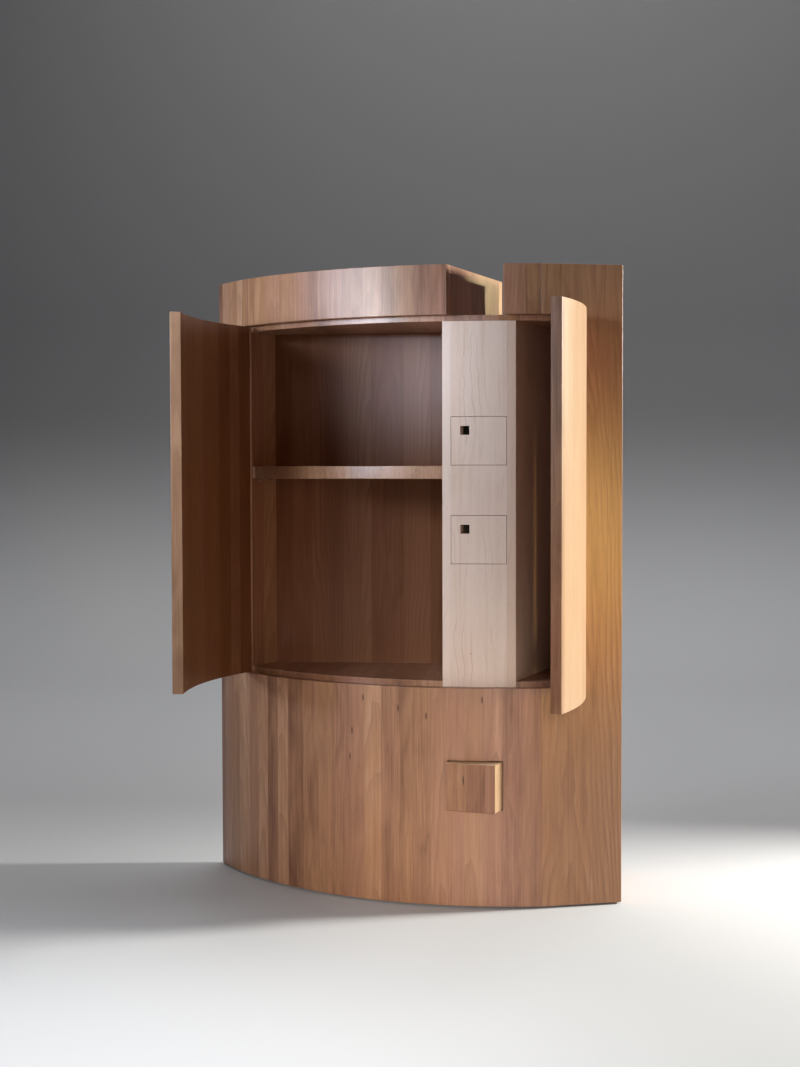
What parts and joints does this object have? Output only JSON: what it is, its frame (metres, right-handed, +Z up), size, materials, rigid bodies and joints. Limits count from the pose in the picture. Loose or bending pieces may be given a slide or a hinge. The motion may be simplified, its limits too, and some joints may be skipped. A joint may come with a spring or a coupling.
{
  "type": "cabinet with bowed doors and drawers",
  "caption": "Free-standing wooden cabinet with a bowed front, curved doors, a shelf, a slanted pale column with flush drawers and a block drawer below.",
  "frame": {"origin": "on the floor, in the middle of the case's width and depth", "axes": "+Z up, -Y out of the front, +X to the right seen from the front"},
  "size_m": [0.6471, 0.5232, 0.95],
  "materials": {
    "case_wood": "satin oiled reddish-brown fruitwood, vertical staves",
    "door_wood": "satin oiled reddish-brown fruitwood, vertical staves",
    "inner_wood": "satin oiled reddish-brown fruitwood",
    "column_wood": "pale close-grained wood, matt",
    "box_wood": "pale close-grained wood, matt",
    "hinge_metal": "dark patina"
  },
  "bodies": {
    "carcass": {"back_panel": "inner_wood", "base_panel": "box_wood", "column_bearer_middle": "box_wood", "column_bearer_upper": "box_wood", "column_panel_bottom": "column_wood", "column_panel_middle": "column_wood", "column_panel_top": "column_wood", "column_side_left": "column_wood", "column_side_right": "column_wood", "crown_back_left": "case_wood", "crown_back_right": "case_wood", "crown_cap_left": "case_wood", "crown_cap_right": "case_wood", "crown_cheek_left": "case_wood", "crown_cheek_right": "case_wood", "crown_fascia_left": "case_wood", "crown_fascia_right": "case_wood", "floor_panel": "inner_wood", "hinge_frame_screws": "hinge_metal", "left_hinge_frame_leaves": "hinge_metal", "left_hinge_pins": "hinge_metal", "left_lining": "inner_wood", "left_post": "case_wood", "lower_front": "case_wood", "right_flank": "case_wood", "right_hinge_frame_leaves": "hinge_metal", "right_hinge_pins": "hinge_metal", "right_side": "case_wood", "shelf": "inner_wood", "shelf_pins": "inner_wood", "top_panel": "inner_wood", "tunnel_bearer": "box_wood", "tunnel_guide_left": "box_wood", "tunnel_guide_right": "box_wood", "tunnel_kicker": "box_wood"},
    "block_drawer": {"block_drawer_back": "box_wood", "block_drawer_bottom": "box_wood", "block_drawer_front": "case_wood", "block_drawer_side_left": "box_wood", "block_drawer_side_right": "box_wood"},
    "left_door": {"left_door": "door_wood", "left_hinge_door_leaves": "hinge_metal", "left_hinge_door_screws": "hinge_metal"},
    "middle_drawer": {"middle_drawer_back": "box_wood", "middle_drawer_bottom": "box_wood", "middle_drawer_front": "column_wood", "middle_drawer_side_left": "box_wood", "middle_drawer_side_right": "box_wood"},
    "right_door": {"right_door": "door_wood", "right_hinge_door_leaves": "hinge_metal", "right_hinge_door_screws": "hinge_metal"},
    "upper_drawer": {"upper_drawer_back": "box_wood", "upper_drawer_bottom": "box_wood", "upper_drawer_front": "column_wood", "upper_drawer_side_left": "box_wood", "upper_drawer_side_right": "box_wood"}
  },
  "joints": [
    {"name": "left_door_hinge", "type": "hinge", "parent": "carcass", "child": "left_door", "pos_m": [-0.27438, 0.04531, 0.6], "axis": [0, 0, -1], "range_deg": [-67, 43]},
    {"name": "right_door_hinge", "type": "hinge", "parent": "carcass", "child": "right_door", "pos_m": [0.25685, -0.10778, 0.6], "axis": [0, 0, 1], "range_deg": [-85.5, 30]},
    {"name": "upper_drawer_slide", "type": "slide", "parent": "carcass", "child": "upper_drawer", "axis": [-0.2672, -0.9636, 0], "range_m": [0, 0.14]},
    {"name": "middle_drawer_slide", "type": "slide", "parent": "carcass", "child": "middle_drawer", "axis": [-0.2672, -0.9636, 0], "range_m": [0, 0.14]},
    {"name": "block_drawer_slide", "type": "slide", "parent": "carcass", "child": "block_drawer", "axis": [-0.2672, -0.9636, 0], "range_m": [0, 0.12]}
  ]
}
